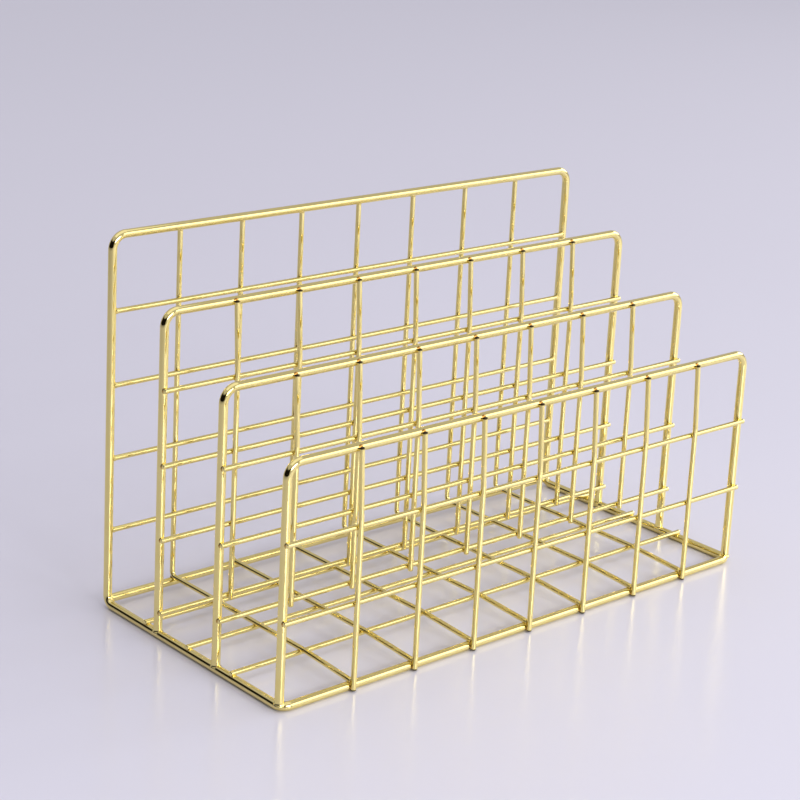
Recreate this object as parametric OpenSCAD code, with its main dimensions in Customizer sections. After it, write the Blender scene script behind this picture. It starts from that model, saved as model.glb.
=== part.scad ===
// Wire book rack: four upright wire panels that step down from back to front on one base,
// with three slots between them for books and papers.
// X runs along the panels, Y from front to back and Z up.
// The origin is on the desk, under the middle of the rack. Sizes are in millimetres.

/* [Panels] */
// Distance between the centre lines of a panel's two legs
frame_w = 320; // [240:1:420]
// Height of the back panel above the desk
back_h = 201; // [190:0.5:240]
// Height of the rear divider above the desk
rear_divider_h = 172.5; // [150:0.5:189]
// Height of the front divider above the desk
front_divider_h = 147.5; // [136:0.5:149]
// Height of the front panel above the desk
front_h = 125.5; // [100:0.5:135]
// Bend radius at the top corners of a panel, to the wire's centre line
frame_bend_r = 7.5; // [5:0.5:20]

/* [Slots] */
// Distance from the back legs to the rear divider's legs
rear_slot = 45.5; // [30:0.5:80]
// Distance from the rear divider's legs to the front divider's legs
middle_slot = 49; // [30:0.5:80]
// Distance from the front divider's legs to the front legs
front_slot = 50; // [30:0.5:80]

/* [Wire] */
// Diameter of the thick wire of the frames
frame_wire_d = 4.5; // [3.6:0.1:5.6]
// Diameter of the thin wire of the mesh
mesh_wire_d = 2.8; // [2.2:0.1:3.2]
// Depth to which a wire is pressed into the wire under it at a weld
weld_sink = 0.8; // [0.2:0.05:0.9]

/* [Mesh] */
// Number of upright wires in each panel
upright_count = 7; // [3:1:9]
// Distance from a leg to the upright next to it, between centre lines
side_gap = 41.5; // [30:0.5:50]
// Drop from a top rail to the first cross wire, and from one cross wire to the next
row_pitch = 39; // [30:0.5:50]
// Number of cross wires under the floor
floor_cross_count = 3; // [2:1:5]
// Height above the top cross wire at which an upright starts to lean in to the top rail
lean_start = 4; // [2:0.5:10]
// Distance past the outer floor cross wires at which a floor wire leaves its level stretch
slope_start = 4; // [2:0.5:8]
// Bend radius where a back wire turns forward into the floor
floor_bend_r = 3; // [2.5:0.5:6]

/* [Base] */
// Bend radius at the corners of the base, to the wire's centre line
base_bend_r = 5; // [3.5:0.5:6]
// Height of the lower back rail above the side rails, between centre lines
back_rail_rise = 2.2; // [2:0.1:5]
// Depth of the saddle where a wire ends on a thick wire
saddle = 1; // [0.5:0.1:1.5]

/* [Wire ends] */
// Distance from the outer side of a leg in to the end of a divider's or the front panel's cross wire
cross_inset = 0.8; // [0:0.1:2]
// Length of a floor cross wire past the centre line of the base's side rail
floor_cross_end = 1.8; // [0:0.1:2]
// Distance from the top of a rail down to the ends of its uprights
upright_tip_drop = 1.6; // [0.4:0.1:2]
// Length of a divider's uprights below the centre line of its lowest cross wire
upright_foot = 2.2; // [1.8:0.1:4]
// Height above the desk at which the front uprights end
front_upright_foot = 0.6; // [0.2:0.1:1.5]
// Gap between the front end of a floor wire and the front upright before it
floor_end_gap = 0.3; // [0.2:0.1:0.8]

/* [Hidden] */
$fn = 48;
gold = [0.84, 0.75, 0.42];
rail_r = frame_wire_d / 2;
mesh_r = mesh_wire_d / 2;

// Where a mesh wire changes direction, a ball a little thicker than the wire joins its stretches,
// and each stretch ends just short of the ball's centre
ball_swell = 0.04;
ball_d = mesh_wire_d + ball_swell;
ball_gap = 0.05;

// Panels in order from back to front
panel_names = ["back", "rear_divider", "front_divider", "front"];
panel_h = [back_h, rear_divider_h, front_divider_h, front_h];
back = 0;
front = len(panel_names) - 1;
panels = [back : front];

// The back panel's legs run on into the base, and its uprights into the floor;
// the other panels have frames and uprights of their own
own_panels = [back + 1 : front];

// Distance between centre lines where a mesh wire is pressed onto a thick wire, or onto another mesh wire
on_rail = rail_r + mesh_r - weld_sink;
on_mesh = mesh_wire_d - weld_sink;

// The back panel's mesh lies in the plane of its legs, with its cross wires in front of its uprights;
// the other panels carry their mesh in front of their legs, with the uprights foremost
function cross_off(p) = p == back ? -on_mesh / 2 : -on_rail;
function upright_off(p) = p == back ? on_mesh / 2 : -on_rail - on_mesh;

// The panels are placed so that the origin is midway between the rearmost and the foremost wire
frame_d = rear_slot + middle_slot + front_slot;
back_reach = max(rail_r, upright_off(back) + mesh_r);
front_reach = mesh_r - upright_off(front);
back_y = (frame_d + front_reach - back_reach) / 2;
panel_y = [
    back_y,
    back_y - rear_slot,
    back_y - rear_slot - middle_slot,
    back_y - frame_d
];

// The side rails run on from the back legs, and the front rail lies behind the front uprights
leg_x = frame_w / 2;
base_z = rail_r;
front_rail_y = upright_y(front) + on_rail;
leg_foot_z = base_z + rail_r - saddle;
back_rail_z = base_z + back_rail_rise;

// Reach of a wire that ends in saddles between the back legs
between_legs_x = leg_x - rail_r + saddle;

// Heights of the floor's cross wires and of the floor wires that cross over them
floor_cross_z = base_z + on_rail;
floor_z = floor_cross_z + on_mesh;

function rail_z(p) = panel_h[p] - rail_r;
function row_count(p) = floor((rail_z(p) - lowest_row_z) / row_pitch);
function row_z(p, row) = rail_z(p) - row * row_pitch;
function cross_y(p) = panel_y[p] + cross_off(p);
function upright_y(p) = panel_y[p] + upright_off(p);
function upright_x(i) = side_gap - leg_x + (i - 1) * (frame_w - 2 * side_gap) / (upright_count - 1);
function floor_cross_y(k) = back_y - k * frame_d / (floor_cross_count + 1);

// Point on the line through a and b, in [y, z], at height z or at depth y
function at_height(a, b, z) = [a[0] + (b[0] - a[0]) * (z - a[1]) / (b[1] - a[1]), z];
function at_depth(a, b, y) = [y, a[1] + (b[1] - a[1]) * (y - a[0]) / (b[0] - a[0])];

function in_plane(x, points) = [for (q = points) [x, q[0], q[1]]];
function unit(v) = v / norm(v);

// Upper end of an upright: where it starts to lean in, and its tip on the front of the top rail
function lean_point(p) = [upright_y(p), row_z(p, 1) + lean_start];
function rail_point(p) = [panel_y[p] - on_rail, rail_z(p)];
function tip_point(p) = at_height(lean_point(p), rail_point(p), panel_h[p] - upright_tip_drop);

// Upper end of a back wire, in a saddle under the top rail
back_tip = [upright_y(back), rail_z(back) - rail_r + saddle];

// Floor part of a back wire: its level stretch, and on over the front rail
floor_rear = [floor_cross_y(1) + slope_start, floor_z];
floor_front = [floor_cross_y(floor_cross_count) - slope_start, floor_z];
front_rail_seat = [front_rail_y, base_z + on_rail];
floor_tip_y = upright_y(front) + mesh_r + floor_end_gap;
floor_tip = at_depth(floor_front, front_rail_seat, floor_tip_y);

// The bend of a back wire is pressed onto the lower back rail from above,
// and turns the wire from straight down to the line that runs to its level stretch
floor_bend_side = floor_bend_r - upright_off(back);
floor_bend_span = floor_bend_r + on_rail;
floor_bend_centre = [
    panel_y[back] - floor_bend_side,
    back_rail_z + sqrt(floor_bend_span * floor_bend_span - floor_bend_side * floor_bend_side)
];
floor_way = floor_rear - floor_bend_centre;
floor_turn = 90 + asin(floor_bend_r / norm(floor_way)) - atan2(-floor_way[1], -floor_way[0]);
floor_bend_start = floor_bend_centre + floor_bend_r * [1, 0];
floor_bend_end = floor_bend_centre + floor_bend_r * [cos(floor_turn), -sin(floor_turn)];

// Lowest height for a cross wire, clear of the floor and of the back wires' bends
lowest_row_z = floor_bend_start[1] + mesh_r;

uprights = [1 : upright_count];
floor_crosses = [1 : floor_cross_count];

// Straight round rod from a to b
module rod(a, b, d) {
    v = b - a;
    translate(a)
        rotate([0, acos(v[2] / norm(v)), atan2(v[1], v[0])])
            cylinder(h = norm(v), d = d);
}

// Straight rod along X, the same length to either side of the middle
module cross_bar(x, y, z, d) {
    rod([-x, y, z], [x, y, z], d);
}

// Quarter bend that starts at a in direction u and ends in direction v
module bend(a, u, v, r, d) {
    centre = a + r * v;
    axis = cross(u, v);
    multmatrix([
        [-v[0], u[0], axis[0], centre[0]],
        [-v[1], u[1], axis[1], centre[1]],
        [-v[2], u[2], axis[2], centre[2]],
        [0, 0, 0, 1]
    ])
        rotate_extrude(angle = 90)
            translate([r, 0])
                circle(d = d);
}

// Thick wire along the points, with a quarter bend at each inner point, of the radius listed for it
module frame_wire(points, radii) {
    last = len(points) - 1;
    dir = [for (i = [0 : last - 1]) unit(points[i + 1] - points[i])];
    trim = concat([0], radii, [0]);
    for (i = [0 : last - 1])
        rod(points[i] + trim[i] * dir[i], points[i + 1] - trim[i + 1] * dir[i], frame_wire_d);
    for (i = [1 : last - 1])
        bend(points[i] - trim[i] * dir[i - 1], dir[i - 1], dir[i], trim[i], frame_wire_d);
}

// Thin wire along the points, with a ball at each inner point, and at the ends that are joined on
module mesh_wire(points, joined_start = false, joined_end = false) {
    last = len(points) - 1;
    for (i = [0 : last - 1]) {
        dir = unit(points[i + 1] - points[i]);
        at_start = i == 0 && !joined_start;
        at_end = i == last - 1 && !joined_end;
        rod(
            points[i] + (at_start ? 0 : ball_gap) * dir,
            points[i + 1] - (at_end ? 0 : ball_gap) * dir,
            mesh_wire_d
        );
    }
    for (i = [joined_start ? 0 : 1 : joined_end ? last : last - 1])
        translate(points[i])
            sphere(d = ball_d);
}

// Bend of a back wire, in the plane at x
module floor_bend(x) {
    translate([x, floor_bend_centre[0], floor_bend_centre[1]])
        rotate([90, 0, 90])
            rotate([0, 0, -floor_turn])
                rotate_extrude(angle = floor_turn)
                    translate([floor_bend_r, 0])
                        circle(d = mesh_wire_d);
}

// Closed loop of thick wire: over the back panel, down its legs, forward along the sides
// and across the front of the base
module main_loop() {
    for (side = [0, 1])
        mirror([side, 0, 0])
            frame_wire(
                [
                    [0, panel_y[back], rail_z(back)],
                    [leg_x, panel_y[back], rail_z(back)],
                    [leg_x, panel_y[back], base_z],
                    [leg_x, front_rail_y, base_z],
                    [0, front_rail_y, base_z]
                ],
                [frame_bend_r, base_bend_r, base_bend_r]
            );
}

// Straight stretches of the thick wires, as other wires meet them
module legs(p) {
    for (side = [-1, 1])
        rod([side * leg_x, panel_y[p], 0], [side * leg_x, panel_y[p], rail_z(p)], frame_wire_d);
}

module side_rails() {
    for (side = [-1, 1])
        rod([side * leg_x, front_rail_y, base_z], [side * leg_x, panel_y[back], base_z], frame_wire_d);
}

module front_rail() {
    cross_bar(leg_x, front_rail_y, base_z, frame_wire_d);
}

module back_rail() {
    cross_bar(between_legs_x, panel_y[back], back_rail_z, frame_wire_d);
}

module top_rail(p) {
    cross_bar(leg_x, panel_y[p], rail_z(p), frame_wire_d);
}

// Straight cross wire of a panel, and of the floor
module cross_rod(p, row) {
    reach = p == back ? between_legs_x : leg_x + rail_r - cross_inset;
    cross_bar(reach, cross_y(p), row_z(p, row), mesh_wire_d);
}

module floor_cross_rod(k) {
    cross_bar(leg_x + floor_cross_end, floor_cross_y(k), floor_cross_z, mesh_wire_d);
}

// All cross wires of a panel
module rows(p) {
    for (row = [1 : row_count(p)])
        cross_rod(p, row);
}

module main_frame() {
    color(gold)
        main_loop();
}

// Lower rail of the back panel, with saddles at its ends that sit against the bends of the back legs
module lower_back_rail() {
    color(gold)
        difference() {
            back_rail();
            main_loop();
        }
}

// Upside-down U of a panel, with saddles at its feet that sit on the base
module panel_frame(p) {
    y = panel_y[p];
    color(gold)
        difference() {
            frame_wire(
                [[-leg_x, y, leg_foot_z], [-leg_x, y, rail_z(p)], [leg_x, y, rail_z(p)], [leg_x, y, leg_foot_z]],
                [frame_bend_r, frame_bend_r]
            );
            main_loop();
        }
}

// Cross wire of a panel, between the back legs or pressed onto the front of its own panel's legs
module cross_wire(p, row) {
    color(gold)
        difference() {
            cross_rod(p, row);
            legs(p);
        }
}

// Upright of a divider or of the front panel, pressed onto its cross wires and its top rail
module upright(p, i) {
    foot_z = p == front ? front_upright_foot : row_z(p, row_count(p)) - upright_foot;
    color(gold)
        difference() {
            mesh_wire(in_plane(upright_x(i), [[upright_y(p), foot_z], lean_point(p), tip_point(p)]));
            rows(p);
            top_rail(p);
            if (p == front)
                front_rail();
        }
}

// Back wire: down the back panel, round its bend and forward over the floor's cross wires
module back_floor_wire(i) {
    x = upright_x(i);
    color(gold)
        difference() {
            union() {
                mesh_wire(in_plane(x, [back_tip, floor_bend_start]), joined_end = true);
                floor_bend(x);
                mesh_wire(in_plane(x, [floor_bend_end, floor_rear, floor_front, floor_tip]), joined_start = true);
            }
            rows(back);
            top_rail(back);
            back_rail();
            front_rail();
            for (k = floor_crosses)
                floor_cross_rod(k);
        }
}

// Floor cross wire, pressed onto the base's side rails
module floor_cross_wire(k) {
    color(gold)
        difference() {
            floor_cross_rod(k);
            side_rails();
        }
}

main_frame();
lower_back_rail();
for (p = own_panels)
    panel_frame(p);
for (p = panels, row = [1 : row_count(p)])
    cross_wire(p, row);
for (i = uprights)
    back_floor_wire(i);
for (p = own_panels, i = uprights)
    upright(p, i);
for (k = floor_crosses)
    floor_cross_wire(k);
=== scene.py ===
import math

import bmesh
import bpy
from mathutils import Matrix, Vector


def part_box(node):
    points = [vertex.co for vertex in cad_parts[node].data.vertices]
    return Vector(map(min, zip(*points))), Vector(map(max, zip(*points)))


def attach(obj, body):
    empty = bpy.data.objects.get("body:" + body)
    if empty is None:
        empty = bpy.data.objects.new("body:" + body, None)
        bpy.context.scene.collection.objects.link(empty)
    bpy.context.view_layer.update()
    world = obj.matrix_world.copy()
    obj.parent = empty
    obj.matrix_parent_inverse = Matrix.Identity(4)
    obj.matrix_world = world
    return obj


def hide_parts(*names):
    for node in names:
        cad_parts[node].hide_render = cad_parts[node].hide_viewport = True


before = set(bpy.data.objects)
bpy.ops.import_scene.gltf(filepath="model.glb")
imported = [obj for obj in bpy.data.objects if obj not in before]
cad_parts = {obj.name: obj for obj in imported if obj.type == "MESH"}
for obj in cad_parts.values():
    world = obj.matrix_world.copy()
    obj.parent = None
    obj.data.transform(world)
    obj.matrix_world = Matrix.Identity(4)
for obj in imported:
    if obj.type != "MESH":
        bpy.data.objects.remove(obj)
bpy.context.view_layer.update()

bl_info = {
    "name": "Wire book rack",
    "version": (1, 0, 0),
    "blender": (4, 5, 0),
    "location": "3D View > Sidebar > Rack",
    "description": "Builds a gold-plated wire book rack, wire by wire, and a plain studio around it",
    "category": "Object",
}

MM = 0.001
ACROSS = Vector((1, 0, 0))
BACK = Vector((0, 1, 0))
UP = Vector((0, 0, 1))

PANELS = ("back", "rear_divider", "front_divider", "front")

# Marks on vertices, which the material reads: painted shade at cut wire ends, and at weld beads a browner
# colour that is partly scorched weld metal and partly painted crevice shade.
CUT_SHADE_MARK = "cut_end_shade"
WELD_SHADE_MARK = "weld_metal_and_shade"

# Fineness of the meshes. A bend has one step for every so many degrees.
BEND_STEP = 5
FEWEST_BEND_STEPS = 3
CUT_SEGMENTS = 3
BEAD_SIDES = 8
BEAD_RINGS = 6
FOOT_SIDES = 24
FLOOR_SIDES = 96

# Vertices closer than this, in metres, are the same one.
WIRE_JOIN = 1e-6
FOOT_JOIN = 1e-7

# Weld beads: radius in the plane of the joint and radius at right angles to it, as shares of the thin wire's
# diameter.
MESH_BEAD = (0.6, 0.3)
RAIL_BEAD = (0.68, 0.3)
BUTT_BEAD = (0.62, 0.35)
# Distance from a thin wire's centre line to its bead on a thick one, as a share of the thin wire's diameter.
BEAD_SEAT = 0.42

# Weld fillet at the foot of a thick wire: shares of the wire's diameter, and angles along its curve.
FOOT_RADIUS = 0.49
FOOT_FLARE = 0.14
FOOT_HEIGHT = 0.4
FOOT_DEPTH = 0.2
FOOT_ANGLES = (0, 22.5, 45, 67.5, 90)

# The painted shade at a cut end reaches this many times its rounding along the wire.
CUT_SHADE_REACH = 1.1

# Roughness of the plating where it is thinnest and thickest, as factors of the usual one, and the values of
# the drift between which it changes.
POLISH = (0.7, 1.4)
POLISH_DRIFT = (0.3, 0.7)

# The dark screen fades in to the left and down from the ceiling, by these parts of a unit direction.
SCREEN_LEFT = (-0.36, -0.50)
SCREEN_TOP = (0.62, 0.50)

# Lamps: place, point aimed at, width and height, in metres, and power in watts. The top one lights the floor,
# the key one gives the shadows, the right one gives the wires across the rack their pale band, and the front
# one, seen in the floor, gives the upright wires their bright stripe.
LAMPS = {
    "top_softbox": ((0, 0, 5.0), (0, 0, 0), (6.0, 6.0), 55),
    "key_softbox": ((2.75, -0.35, 1.2), (0, 0, 0.1), (1.4, 1.4), 20),
    "right_softbox": ((1.4, -1.47, 0.85), (0, 0, 0.1), (1.7, 1.3), 12),
    "front_softbox": ((-0.12, -1.75, 0.66), (0, 0, 0.05), (0.9, 0.4), 15),
}

SENSOR_WIDTH = 36
NEAREST_SEEN = 10 * MM


def linear(hex_colour):
    """Linear RGBA of an sRGB hex colour."""
    parts = [int(hex_colour[i:i + 2], 16) / 255 for i in (1, 3, 5)]
    return tuple(c / 12.92 if c <= 0.04045 else ((c + 0.055) / 1.055) ** 2.4 for c in parts) + (1.0,)


def nodes_named(start):
    """CAD nodes of one kind, in the order of their numbers."""
    found = [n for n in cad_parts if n.startswith(start) and n[len(start):].isdigit()]
    return sorted(found, key=lambda n: int(n[len(start):]))


def middle(node):
    """Centre of a CAD node's box."""
    low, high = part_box(node)
    return (low + high) / 2


def box_height(node):
    """Height of a CAD node's box."""
    low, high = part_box(node)
    return high.z - low.z


def frame_node(panel):
    """CAD node of the U frame of a divider or the front panel."""
    return f"{panel}_frame"


def across_wires(panel):
    """Cross wires of a panel, from its top down."""
    return nodes_named(f"{panel}_cross_wire_")


class RackWires(bpy.types.PropertyGroup):
    """Sizes of the wires."""

    rail_d: bpy.props.FloatProperty(
        name="Thick wire", description="Diameter of the wire of the frames",
        default=box_height("lower_back_rail"), unit="LENGTH")
    mesh_d: bpy.props.FloatProperty(
        name="Thin wire", description="Diameter of the wire of the mesh",
        default=box_height("floor_cross_wire_1"), unit="LENGTH")
    frame_bend: bpy.props.FloatProperty(
        name="Frame bend",
        description="Bend radius at the top corners of a panel, to the wire's centre line",
        default=7.5 * MM, unit="LENGTH")
    base_bend: bpy.props.FloatProperty(
        name="Base bend",
        description="Bend radius at the corners of the base, to the wire's centre line",
        default=5 * MM, unit="LENGTH")
    floor_bend: bpy.props.FloatProperty(
        name="Floor bend", description="Bend radius where a back wire turns forward into the floor",
        default=3 * MM, unit="LENGTH")
    lean_start: bpy.props.FloatProperty(
        name="Lean start",
        description="Height above the top cross wire at which an upright starts to lean in",
        default=4 * MM, unit="LENGTH")
    slope_start: bpy.props.FloatProperty(
        name="Slope start",
        description="Distance past the outer floor cross wires to a floor wire's slopes",
        default=4 * MM, unit="LENGTH")
    soft_bend: bpy.props.FloatProperty(
        name="Slight bend", description="Bend radius of the slight bends in a mesh wire",
        default=15 * MM, unit="LENGTH")
    cut_round: bpy.props.FloatProperty(
        name="Cut end", description="Rounding at the rim of a cut wire end",
        default=0.5 * MM, unit="LENGTH")
    cut_reach: bpy.props.FloatProperty(
        name="Cut end reach", description="Length of the separate ring of faces at a cut wire end",
        default=1.1 * MM, unit="LENGTH")
    sides: bpy.props.IntProperty(
        name="Sides", description="Number of sides round a wire",
        default=32, min=12, max=64)


class RackGold(bpy.types.PropertyGroup):
    """Finish of the wires."""

    pale: bpy.props.FloatVectorProperty(
        name="Pale gold", description="Colour of the plating where it is thickest",
        default=linear("#F5E6A2"), size=4, min=0, max=1, subtype="COLOR")
    deep: bpy.props.FloatVectorProperty(
        name="Deep gold", description="Colour of the plating where it is thinnest",
        default=linear("#ECD986"), size=4, min=0, max=1, subtype="COLOR")
    roughness: bpy.props.FloatProperty(
        name="Roughness", description="Roughness of the bright plating",
        default=0.06, min=0, max=1, subtype="FACTOR")
    # Browner colour of the weld beads: partly scorched weld metal, partly painted shade of the crevices
    # between the wires.
    weld_tint_and_shade: bpy.props.FloatVectorProperty(
        name="Weld metal and shade", description="Colour of a weld bead: scorched weld metal with painted crevice shade",
        default=linear("#B08540"), size=4, min=0, max=1, subtype="COLOR")
    burnt_roughness: bpy.props.FloatProperty(
        name="Weld roughness", description="Roughness of the plating on a weld",
        default=0.2, min=0, max=1, subtype="FACTOR")
    # Dark colour painted on cut wire ends for the shade and dark reflection of their end faces.
    end_shade: bpy.props.FloatVectorProperty(
        name="Cut end shade", description="Dark colour painted on a cut wire end for its shade and dark reflection",
        default=linear("#33271A"), size=4, min=0, max=1, subtype="COLOR")
    end_roughness: bpy.props.FloatProperty(
        name="Cut end roughness", description="Roughness of a cut wire end",
        default=0.35, min=0, max=1, subtype="FACTOR")
    drift: bpy.props.FloatProperty(
        name="Drift", description="Length over which the thickness of the plating drifts",
        default=12 * MM, unit="LENGTH")
    ripple: bpy.props.FloatProperty(
        name="Ripple", description="Length of the ripple left by drawing the wire",
        default=2.5 * MM, unit="LENGTH")
    ripple_height: bpy.props.FloatProperty(
        name="Ripple height", description="Height of the ripple at full strength",
        default=0.1 * MM, unit="LENGTH")
    ripple_strength: bpy.props.FloatProperty(
        name="Ripple strength", description="Share of the ripple that shows",
        default=0.03, min=0, max=1, subtype="FACTOR")


class RackStudio(bpy.types.PropertyGroup):
    """Floor, room and camera."""

    floor: bpy.props.FloatVectorProperty(
        name="Floor", description="Colour of the floor",
        default=linear("#E4E2EC"), size=4, min=0, max=1, subtype="COLOR")
    floor_roughness: bpy.props.FloatProperty(
        name="Floor roughness", description="Roughness of the floor's satin paint",
        default=0.2, min=0, max=1, subtype="FACTOR")
    floor_radius: bpy.props.FloatProperty(
        name="Floor radius", description="Radius of the round floor",
        default=14, unit="LENGTH")
    lit_wall: bpy.props.FloatVectorProperty(
        name="Lit walls", description="Colour of the rest of the room",
        default=linear("#C2C0CB"), size=4, min=0, max=1, subtype="COLOR")
    dark_screen: bpy.props.FloatVectorProperty(
        name="Dark screen", description="Colour of the unlit screen on the left",
        default=linear("#14110C"), size=4, min=0, max=1, subtype="COLOR")
    camera_at: bpy.props.FloatVectorProperty(
        name="Camera place", description="Where the camera stands",
        default=(-0.7304, -0.7757, 0.4566), size=3, subtype="TRANSLATION", unit="LENGTH")
    camera_to: bpy.props.FloatVectorProperty(
        name="Camera aim", description="Point that the camera faces",
        default=(0.0283, 0.0700, 0.1500), size=3, subtype="TRANSLATION", unit="LENGTH")
    camera_roll: bpy.props.FloatProperty(
        name="Camera roll", description="Turn of the camera about its line of sight",
        default=math.radians(2.955), subtype="ANGLE", unit="ROTATION")
    lens: bpy.props.FloatProperty(
        name="Lens", description="Focal length on a 36 mm wide sensor, in millimetres",
        default=95.153, min=1)
    rise: bpy.props.FloatProperty(
        name="Lens shift", description="Vertical shift of the lens, as a share of the picture's width",
        default=-0.149)


def ring_edges(verts):
    """Edges whose two ends are both among the vertices."""
    inside = set(verts)
    return [e for e in {e for v in inside for e in v.link_edges} if set(e.verts) <= inside]


def run(bm, ring, step):
    """Carries a ring of vertices straight on and returns the new ring."""
    made = bmesh.ops.extrude_edge_only(bm, edges=ring_edges(ring))
    ahead = [g for g in made["geom"] if isinstance(g, bmesh.types.BMVert)]
    bmesh.ops.translate(bm, verts=ahead, vec=step)
    return ahead


def turn(bm, ring, centre, axis, angle, steps):
    """Carries a ring of vertices round a bend and returns the new ring."""
    made = bmesh.ops.spin(
        bm, geom=list(ring) + ring_edges(ring), cent=centre, axis=axis, angle=angle, steps=steps,
        use_merge=False, use_duplicate=False)
    return [g for g in made["geom_last"] if isinstance(g, bmesh.types.BMVert)]


def facing(way):
    """Turn that carries the upward direction to the one given."""
    return UP.rotation_difference(Vector(way)).to_matrix().to_4x4()


def new_mesh():
    """Empty mesh whose vertices carry marks for the painted shade at cut ends and for weld beads, whose
    browner colour is partly painted crevice shade.
    """
    bm = bmesh.new()
    bm.verts.layers.float.new(CUT_SHADE_MARK)
    bm.verts.layers.float.new(WELD_SHADE_MARK)
    return bm


def mark_shaded_end(bm, end, into):
    """Marks the vertices at a cut wire end, which are painted dark for the shade and dark reflection of the
    end face.
    """
    wires = bpy.context.scene.rack_wires
    mark = bm.verts.layers.float[CUT_SHADE_MARK]
    for vert in bm.verts:
        step = vert.co - end
        if step.length < wires.rail_d and step.dot(into) < CUT_SHADE_REACH * wires.cut_round:
            vert[mark] = 1.0


def draw_wire(bm, points, bends, diameter, closed=False, shaded_start=False, shaded_tip=False):
    """Round wire along the points, bent to the radius given for each inner one, with rounded cut ends."""
    wires = bpy.context.scene.rack_wires
    path = [Vector(p) for p in points]
    ways = [(b - a).normalized() for a, b in zip(path, path[1:])]
    first = bmesh.ops.create_circle(
        bm, cap_ends=False, segments=wires.sides, radius=diameter / 2,
        matrix=Matrix.Translation(path[0]) @ facing(ways[0]))["verts"]
    ring = first
    here = path[0]
    if not closed:
        ring = run(bm, ring, ways[0] * wires.cut_reach)
        here = path[0] + ways[0] * wires.cut_reach
    for corner, radius, way, onward in zip(path[1:], bends, ways, ways[1:]):
        angle = way.angle(onward)
        start = corner - way * radius * math.tan(angle / 2)
        ring = run(bm, ring, start - here)
        inward = (onward - way * way.dot(onward)).normalized()
        steps = max(FEWEST_BEND_STEPS, round(math.degrees(angle) / BEND_STEP))
        ring = turn(bm, ring, start + inward * radius, way.cross(onward).normalized(), angle, steps)
        here = corner + onward * radius * math.tan(angle / 2)
    if closed:
        ring = run(bm, ring, path[-1] - here)
        bmesh.ops.remove_doubles(bm, verts=first + ring, dist=WIRE_JOIN)
        return
    ring = run(bm, ring, path[-1] - ways[-1] * wires.cut_reach - here)
    ring = run(bm, ring, ways[-1] * wires.cut_reach)
    rims = ring_edges(first) + ring_edges(ring)
    bmesh.ops.contextual_create(bm, geom=ring_edges(first))
    bmesh.ops.contextual_create(bm, geom=ring_edges(ring))
    bmesh.ops.bevel(
        bm, geom=rims, offset=wires.cut_round, offset_type="OFFSET", segments=CUT_SEGMENTS, profile=0.5,
        affect="EDGES", material=-1, clamp_overlap=True)
    # The chosen cut ends are marked for painted shade.
    if shaded_start:
        mark_shaded_end(bm, path[0], ways[0])
    if shaded_tip:
        mark_shaded_end(bm, path[-1], -ways[-1])


def weld(bm, at, normal, bead, tinted_and_shaded=True):
    """Bead of a weld: a flat drop that fills the crevice between two wires. A marked one is browner and
    duller: partly scorched weld metal, partly painted crevice shade.
    """
    spread, depth = [share * bpy.context.scene.rack_wires.mesh_d for share in bead]
    drop = bmesh.ops.create_uvsphere(
        bm, u_segments=BEAD_SIDES, v_segments=BEAD_RINGS, radius=1,
        matrix=Matrix.Translation(at) @ facing(normal) @ Matrix.Diagonal((spread, spread, depth, 1)))
    # Marked beads are painted browner, partly as crevice shade.
    if tinted_and_shaded:
        mark = bm.verts.layers.float[WELD_SHADE_MARK]
        for vert in drop["verts"]:
            vert[mark] = 1.0


def foot(bm, at, up, diameter):
    """Fillet of weld metal round the end of a thick wire that stands on another one."""
    r = FOOT_RADIUS * diameter
    flare = FOOT_FLARE * diameter
    height = FOOT_HEIGHT * diameter
    sunk = -FOOT_DEPTH * diameter
    arc = [math.radians(a) for a in FOOT_ANGLES]
    rim = [(r + flare * (1 - math.sin(a)), 0, height * (1 - math.cos(a))) for a in arc]
    profile = [(0, 0, sunk), (r + flare, 0, sunk), *rim, (0, 0, height)]
    place = Matrix.Translation(at) @ facing(up)
    verts = [bm.verts.new(place @ Vector(p)) for p in profile]
    edges = [bm.edges.new(pair) for pair in zip(verts, verts[1:])]
    bmesh.ops.spin(
        bm, geom=verts + edges, cent=at, axis=up, angle=math.tau, steps=FOOT_SIDES,
        use_merge=True, use_duplicate=False)
    bmesh.ops.remove_doubles(bm, verts=bm.verts, dist=FOOT_JOIN)


def add_node(tree, kind, settings=None, inputs=None):
    """Adds a node with its settings. An input is a value, or a socket to link from."""
    made = tree.nodes.new(kind)
    for name, value in (settings or {}).items():
        setattr(made, name, value)
    for name, value in (inputs or {}).items():
        if isinstance(value, bpy.types.NodeSocket):
            tree.links.new(value, made.inputs[name])
        else:
            made.inputs[name].default_value = value
    return made


def mixed(tree, share, a, b):
    """Socket with a mix of two colours. The share is that of the second one."""
    mix = add_node(tree, "ShaderNodeMix", {"data_type": "RGBA"}, {"Factor": share, "A": a, "B": b})
    return mix.outputs["Result"]


def between(tree, share, low, high):
    """Socket with a number between two others. The share is that of the second one."""
    mix = add_node(tree, "ShaderNodeMapRange", None, {"Value": share, "To Min": low, "To Max": high})
    return mix.outputs["Result"]


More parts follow.
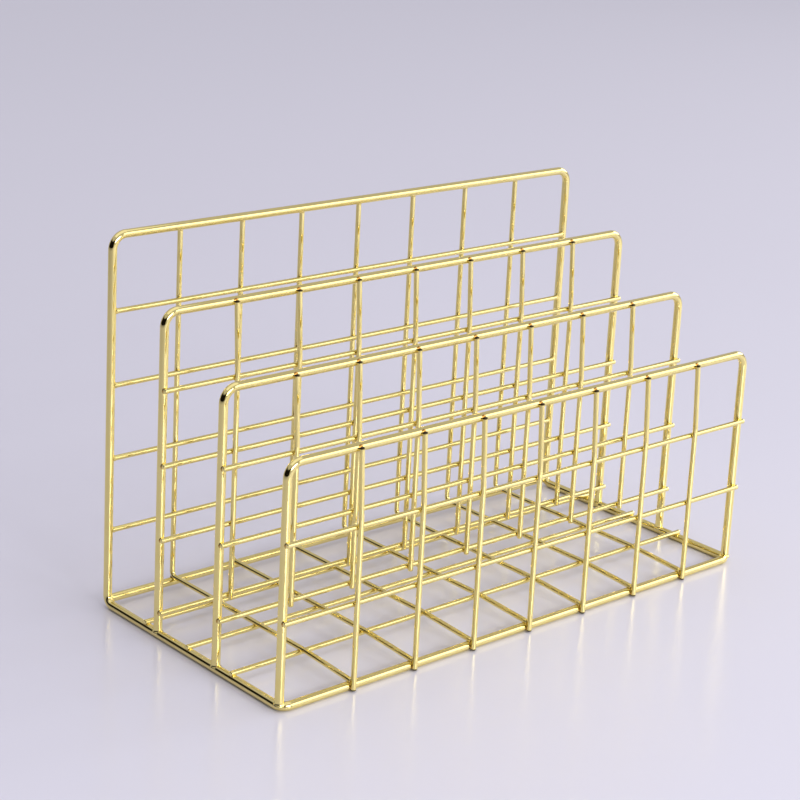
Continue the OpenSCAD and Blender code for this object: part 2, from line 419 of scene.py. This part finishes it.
def gold_plate():
    """Material of the wires, made once."""
    # Drawn steel wire with a bright gold electroplate. To the eye it is a pale gold mirror: each wire has
    # hard stripes of light and dark along it. The tint and the polish drift slowly where the plating is
    # thicker or thinner. The weld beads are browner and duller: partly scorched weld metal under the plating,
    # partly painted shade of the crevices between the wires. The cut tips of the uprights, and the feet of
    # the front ones, are painted dark for the shade and dark reflection of their end faces.
    name = "gold_electroplated_steel_wire"
    if name in bpy.data.materials:
        return bpy.data.materials[name]
    gold = bpy.context.scene.rack_gold
    material = bpy.data.materials.new(name)
    material.use_nodes = True
    tree = material.node_tree
    tree.nodes.clear()
    place = add_node(tree, "ShaderNodeTexCoord")
    # The ripple left by drawing is about 0.5 mm long on such wire, too fine to show, so it is drawn longer.
    cloud = add_node(tree, "ShaderNodeTexNoise", None, {
        "Vector": place.outputs["Object"], "Scale": 1 / gold.drift, "Detail": 3.0, "Roughness": 0.6})
    ripple = add_node(tree, "ShaderNodeTexNoise", None, {
        "Vector": place.outputs["Object"], "Scale": 1 / gold.ripple, "Detail": 2.0, "Roughness": 0.5})
    polish = add_node(tree, "ShaderNodeMapRange", None, {
        "Value": cloud.outputs["Fac"], "From Min": POLISH_DRIFT[0], "From Max": POLISH_DRIFT[1],
        "To Min": gold.roughness * POLISH[0], "To Max": gold.roughness * POLISH[1]})
    # Painted shade: cut ends turn dark, and weld beads turn browner, partly for scorched weld metal and
    # partly for the crevice shade.
    cut = add_node(tree, "ShaderNodeAttribute", {"attribute_name": CUT_SHADE_MARK}).outputs["Fac"]
    joint = add_node(tree, "ShaderNodeAttribute", {"attribute_name": WELD_SHADE_MARK}).outputs["Fac"]
    tint = mixed(tree, cloud.outputs["Fac"], gold.deep, gold.pale)
    colour = mixed(tree, cut, mixed(tree, joint, tint, gold.weld_tint_and_shade), gold.end_shade)
    dull = between(tree, joint, polish.outputs["Result"], gold.burnt_roughness)
    sheen = between(tree, cut, dull, gold.end_roughness)
    bump = add_node(tree, "ShaderNodeBump", None, {
        "Height": ripple.outputs["Fac"], "Strength": gold.ripple_strength, "Distance": gold.ripple_height})
    shader = add_node(tree, "ShaderNodeBsdfPrincipled", None, {
        "Base Color": colour, "Roughness": sheen, "Normal": bump.outputs["Normal"], "Metallic": 1.0})
    add_node(tree, "ShaderNodeOutputMaterial", None, {"Surface": shader.outputs["BSDF"]})
    return material


def finish_piece(bm, node):
    """Turns the mesh into the piece that stands for a CAD node."""
    bmesh.ops.recalc_face_normals(bm, faces=bm.faces)
    for face in bm.faces:
        face.smooth = True
    mesh = bpy.data.meshes.new(f"plated_{node}")
    bm.to_mesh(mesh)
    bm.free()
    mesh.materials.append(gold_plate())
    piece = bpy.data.objects.new(f"plated_{node}", mesh)
    bpy.context.scene.collection.objects.link(piece)
    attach(piece, "root")
    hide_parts(node)


class RACK_OT_main_frame(bpy.types.Operator):
    """Adds the closed loop of thick wire: over the back, along the sides and across the front"""

    bl_idname = "rack.main_frame"
    bl_label = "Main frame"

    def execute(self, context):
        wires = context.scene.rack_wires
        r = wires.rail_d / 2
        low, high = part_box("main_frame")
        x, rear, fore, top, base = high.x - r, high.y - r, low.y + r, high.z - r, low.z + r
        bm = new_mesh()
        draw_wire(
            bm, [(0, rear, top), (x, rear, top), (x, rear, base), (x, fore, base),
                 (-x, fore, base), (-x, rear, base), (-x, rear, top), (0, rear, top)],
            [wires.frame_bend, *[wires.base_bend] * 4, wires.frame_bend], wires.rail_d, closed=True)
        finish_piece(bm, "main_frame")
        return {"FINISHED"}


class RACK_OT_lower_back_rail(bpy.types.Operator):
    """Adds the straight rail of thick wire between the feet of the back legs"""

    bl_idname = "rack.lower_back_rail"
    bl_label = "Lower back rail"

    def execute(self, context):
        wires = context.scene.rack_wires
        at = middle("lower_back_rail")
        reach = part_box("lower_back_rail")[1].x
        bm = new_mesh()
        draw_wire(bm, [(-reach, at.y, at.z), (reach, at.y, at.z)], [], wires.rail_d)
        for side in (-1, 1):
            foot(bm, (side * reach, at.y, at.z), (-side, 0, 0), wires.rail_d)
        finish_piece(bm, "lower_back_rail")
        return {"FINISHED"}


class RACK_OT_panel_frames(bpy.types.Operator):
    """Adds the upside-down U frames of thick wire of the dividers and the front panel"""

    bl_idname = "rack.panel_frames"
    bl_label = "Panel frames"

    def execute(self, context):
        wires = context.scene.rack_wires
        r = wires.rail_d / 2
        for panel in PANELS[1:]:
            node = frame_node(panel)
            low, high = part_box(node)
            x, y, top = high.x - r, middle(node).y, high.z - r
            bm = new_mesh()
            draw_wire(
                bm, [(-x, y, low.z), (-x, y, top), (x, y, top), (x, y, low.z)],
                [wires.frame_bend] * 2, wires.rail_d)
            for side in (-x, x):
                foot(bm, (side, y, low.z), UP, wires.rail_d)
            finish_piece(bm, node)
        return {"FINISHED"}


class RACK_OT_cross_wires(bpy.types.Operator):
    """Adds the cross wires of the four panels"""

    bl_idname = "rack.cross_wires"
    bl_label = "Cross wires"

    def execute(self, context):
        wires = context.scene.rack_wires
        leg_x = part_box("main_frame")[1].x - wires.rail_d / 2
        inner_x = leg_x - wires.rail_d / 2
        for panel in PANELS:
            for node in across_wires(panel):
                low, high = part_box(node)
                y, z = middle(node).y, middle(node).z
                seat_y = y + wires.mesh_d * BEAD_SEAT
                bm = new_mesh()
                draw_wire(bm, [(low.x, y, z), (high.x, y, z)], [], wires.mesh_d)
                for side in (-1, 1):
                    if panel == "back":
                        weld(bm, (side * inner_x, y, z), ACROSS, BUTT_BEAD, tinted_and_shaded=False)
                    else:
                        weld(bm, (side * leg_x, seat_y, z), BACK, RAIL_BEAD)
                finish_piece(bm, node)
        return {"FINISHED"}


def along(a, b, y):
    """Height at depth y of the line through two points, each a depth and a height."""
    return a[1] + (b[1] - a[1]) * (y - a[0]) / (b[0] - a[0])


def weld_rows(bm, x, y, rows):
    """Welds of an upright to its cross wires."""
    for row in rows:
        weld(bm, (x, (y + row.y) / 2, row.z), BACK, MESH_BEAD)


class RACK_OT_uprights(bpy.types.Operator):
    """Adds the uprights of the dividers and of the front panel"""

    bl_idname = "rack.uprights"
    bl_label = "Uprights"

    def execute(self, context):
        wires = context.scene.rack_wires
        seat = wires.mesh_d * BEAD_SEAT
        front_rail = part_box("main_frame")[0] + Vector((0, 0, wires.rail_d / 2))
        for panel in PANELS[1:]:
            rows = [middle(n) for n in across_wires(panel)]
            rail_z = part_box(frame_node(panel))[1].z - wires.rail_d / 2
            for node in nodes_named(f"{panel}_upright_"):
                low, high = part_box(node)
                x, y = middle(node).x, low.y + wires.mesh_d / 2
                lean = (y, rows[0].z + wires.lean_start)
                tip_y = y + (rows[0].y - y) * (high.z - lean[1]) / (rail_z - lean[1])
                bm = new_mesh()
                # An upright's tip, and the foot of a front one, get painted shade at their cut ends.
                draw_wire(
                    bm, [(x, y, low.z), (x, *lean), (x, tip_y, high.z)], [wires.soft_bend], wires.mesh_d,
                    shaded_start=panel == "front", shaded_tip=True)
                weld_rows(bm, x, y, rows)
                weld(bm, (x, rows[0].y + seat, rail_z), BACK, RAIL_BEAD)
                if panel == "front":
                    weld(bm, (x, front_rail.y, front_rail.z), BACK, RAIL_BEAD)
                finish_piece(bm, node)
        return {"FINISHED"}


class RACK_OT_back_floor_wires(bpy.types.Operator):
    """Adds the wires that run down the back panel and forward as the floor"""

    bl_idname = "rack.back_floor_wires"
    bl_label = "Back and floor wires"

    def execute(self, context):
        wires = context.scene.rack_wires
        rail_r = wires.rail_d / 2
        mesh_r = wires.mesh_d / 2
        seat = wires.mesh_d * BEAD_SEAT
        low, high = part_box("back_floor_wire_1")
        y = high.y - mesh_r
        rows = [middle(n) for n in across_wires("back")]
        # Distance between centre lines where a thin wire is pressed onto a thin or a thick one.
        on_mesh = y - rows[0].y
        on_rail = rail_r + on_mesh - mesh_r
        # The floor is level over its cross wires, and slopes to the front rail and to the lower back rail.
        crosses = [middle(n) for n in nodes_named("floor_cross_wire_")]
        cross_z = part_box("floor_cross_wire_1")[1].z - mesh_r
        level = cross_z + on_mesh
        rear = (crosses[0].y + wires.slope_start, level)
        fore = (crosses[-1].y - wires.slope_start, level)
        front_seat = (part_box("main_frame")[0].y + rail_r, rail_r + on_rail)
        end = (low.y, along(fore, front_seat, low.y))
        # The bend lies on the lower back rail and runs on into the rear slope.
        rail = middle("lower_back_rail")
        bend = wires.floor_bend
        side = y - bend - rail.y
        centre_z = rail.z + math.sqrt((bend + on_rail) ** 2 - side ** 2)
        reach, drop = y - bend - rear[0], centre_z - level
        angle = math.pi / 2 + math.asin(bend / math.hypot(reach, drop)) - math.atan2(drop, reach)
        corner = (y, centre_z - bend * math.tan(angle / 2))
        top_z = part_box("main_frame")[1].z - wires.rail_d
        for node in nodes_named("back_floor_wire_"):
            x = middle(node).x
            bm = new_mesh()
            draw_wire(
                bm, [(x, *q) for q in ((y, high.z), corner, rear, fore, end)],
                [bend, wires.soft_bend, wires.soft_bend], wires.mesh_d)
            weld_rows(bm, x, y, rows)
            weld(bm, (x, y, top_z), UP, BUTT_BEAD, tinted_and_shaded=False)
            for cross in crosses:
                weld(bm, (x, cross.y, (cross_z + level) / 2), UP, MESH_BEAD)
            weld(bm, (x, rail.y, rail.z + rail_r), UP, RAIL_BEAD)
            weld(bm, (x, front_seat[0], front_seat[1] - seat), UP, RAIL_BEAD)
            finish_piece(bm, node)
        return {"FINISHED"}


class RACK_OT_floor_cross_wires(bpy.types.Operator):
    """Adds the cross wires under the floor"""

    bl_idname = "rack.floor_cross_wires"
    bl_label = "Floor cross wires"

    def execute(self, context):
        wires = context.scene.rack_wires
        rail_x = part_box("main_frame")[1].x - wires.rail_d / 2
        for node in nodes_named("floor_cross_wire_"):
            low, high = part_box(node)
            y, z = middle(node).y, high.z - wires.mesh_d / 2
            bm = new_mesh()
            draw_wire(bm, [(low.x, y, z), (high.x, y, z)], [], wires.mesh_d)
            for side in (-rail_x, rail_x):
                weld(bm, (side, y, z - wires.mesh_d * BEAD_SEAT), UP, RAIL_BEAD)
            finish_piece(bm, node)
        return {"FINISHED"}


def floor_paint():
    """Material of the floor."""
    # A board with a satin paint. To the eye it is a plain pale grey with a hint of lilac, which takes
    # soft shadows and, close to the wires, a blurred reflection of them.
    studio = bpy.context.scene.rack_studio
    material = bpy.data.materials.new("satin_painted_board")
    material.use_nodes = True
    tree = material.node_tree
    tree.nodes.clear()
    shader = add_node(tree, "ShaderNodeBsdfPrincipled", None, {
        "Base Color": studio.floor, "Roughness": studio.floor_roughness, "IOR": 1.5})
    add_node(tree, "ShaderNodeOutputMaterial", None, {"Surface": shader.outputs["BSDF"]})
    return material


def add_floor(scene):
    """Round floor under the rack."""
    bm = bmesh.new()
    bmesh.ops.create_circle(
        bm, cap_ends=True, segments=FLOOR_SIDES, radius=scene.rack_studio.floor_radius)
    mesh = bpy.data.meshes.new("studio_floor")
    bm.to_mesh(mesh)
    bm.free()
    mesh.materials.append(floor_paint())
    floor = bpy.data.objects.new("studio_floor", mesh)
    scene.collection.objects.link(floor)


def fade(tree, number, limits):
    """Socket that goes from 0 at the first limit of a number to 1 at the second."""
    made = add_node(tree, "ShaderNodeMapRange", None, {
        "Value": number, "From Min": limits[0], "From Max": limits[1]})
    return made.outputs["Result"]


def add_room(scene):
    """Even light from the room, with an unlit screen on the left."""
    # The screen gives the wires their dark stripe. It ends below the ceiling.
    studio = scene.rack_studio
    world = bpy.data.worlds.new("studio_room")
    world.use_nodes = True
    tree = world.node_tree
    tree.nodes.clear()
    way = add_node(tree, "ShaderNodeTexCoord")
    axes = add_node(tree, "ShaderNodeSeparateXYZ", None, {"Vector": way.outputs["Generated"]})
    screen = add_node(tree, "ShaderNodeMath", {"operation": "MULTIPLY"}, {
        0: fade(tree, axes.outputs["X"], SCREEN_LEFT), 1: fade(tree, axes.outputs["Z"], SCREEN_TOP)})
    room = mixed(tree, screen.outputs["Value"], studio.lit_wall, studio.dark_screen)
    light = add_node(tree, "ShaderNodeBackground", None, {"Color": room, "Strength": 1.0})
    add_node(tree, "ShaderNodeOutputWorld", None, {"Surface": light.outputs["Background"]})
    scene.world = world


def looking(at, to):
    """Turn that points a lamp or the camera from one place to another."""
    return (Vector(to) - Vector(at)).to_track_quat("-Z", "Y")


def add_lamp(scene, name, at, to, size, power):
    """Softbox that faces a point."""
    data = bpy.data.lights.new(name, "AREA")
    data.shape = "RECTANGLE"
    data.size, data.size_y = size
    data.energy = power
    lamp = bpy.data.objects.new(name, data)
    lamp.location = at
    lamp.rotation_euler = looking(at, to).to_euler()
    scene.collection.objects.link(lamp)


def add_camera(scene):
    """Camera at the photograph's viewing angle."""
    studio = scene.rack_studio
    data = bpy.data.cameras.new("photo_camera")
    data.sensor_width = SENSOR_WIDTH
    data.lens = studio.lens
    data.shift_y = studio.rise
    data.clip_start = NEAREST_SEEN
    camera = bpy.data.objects.new("photo_camera", data)
    aim = looking(studio.camera_at, studio.camera_to).to_matrix().to_4x4()
    roll = Matrix.Rotation(studio.camera_roll, 4, "Z")
    camera.matrix_world = Matrix.Translation(studio.camera_at) @ aim @ roll
    scene.collection.objects.link(camera)
    scene.camera = camera


class RACK_OT_stage(bpy.types.Operator):
    """Adds the floor, the room's light, the lamps and the camera"""

    bl_idname = "rack.stage"
    bl_label = "Studio"

    def execute(self, context):
        scene = context.scene
        add_floor(scene)
        add_room(scene)
        for name, (at, to, size, power) in LAMPS.items():
            add_lamp(scene, name, at, to, size, power)
        add_camera(scene)
        scene.view_settings.view_transform = "Standard"
        return {"FINISHED"}


OPERATORS = (
    RACK_OT_main_frame,
    RACK_OT_lower_back_rail,
    RACK_OT_panel_frames,
    RACK_OT_cross_wires,
    RACK_OT_uprights,
    RACK_OT_back_floor_wires,
    RACK_OT_floor_cross_wires,
    RACK_OT_stage,
)


class VIEW3D_PT_rack(bpy.types.Panel):
    """Lists the steps that build the rack"""

    bl_idname = "VIEW3D_PT_rack"
    bl_label = "Wire book rack"
    bl_space_type = "VIEW_3D"
    bl_region_type = "UI"
    bl_category = "Rack"

    def draw(self, context):
        for settings in (context.scene.rack_wires, context.scene.rack_gold, context.scene.rack_studio):
            box = self.layout.box()
            for name in settings.bl_rna.properties.keys():
                if name not in ("rna_type", "name"):
                    box.prop(settings, name)
        for operator in OPERATORS:
            self.layout.operator(operator.bl_idname)


SETTINGS = {"rack_wires": RackWires, "rack_gold": RackGold, "rack_studio": RackStudio}


def register():
    for cls in (*SETTINGS.values(), *OPERATORS, VIEW3D_PT_rack):
        bpy.utils.register_class(cls)
    for name, cls in SETTINGS.items():
        setattr(bpy.types.Scene, name, bpy.props.PointerProperty(type=cls))


def unregister():
    for name in SETTINGS:
        delattr(bpy.types.Scene, name)
    for cls in reversed((*SETTINGS.values(), *OPERATORS, VIEW3D_PT_rack)):
        bpy.utils.unregister_class(cls)


def main():
    register()
    for operator in OPERATORS:
        group, name = operator.bl_idname.split(".")
        getattr(getattr(bpy.ops, group), name)()


if __name__ == "__main__":
    main()
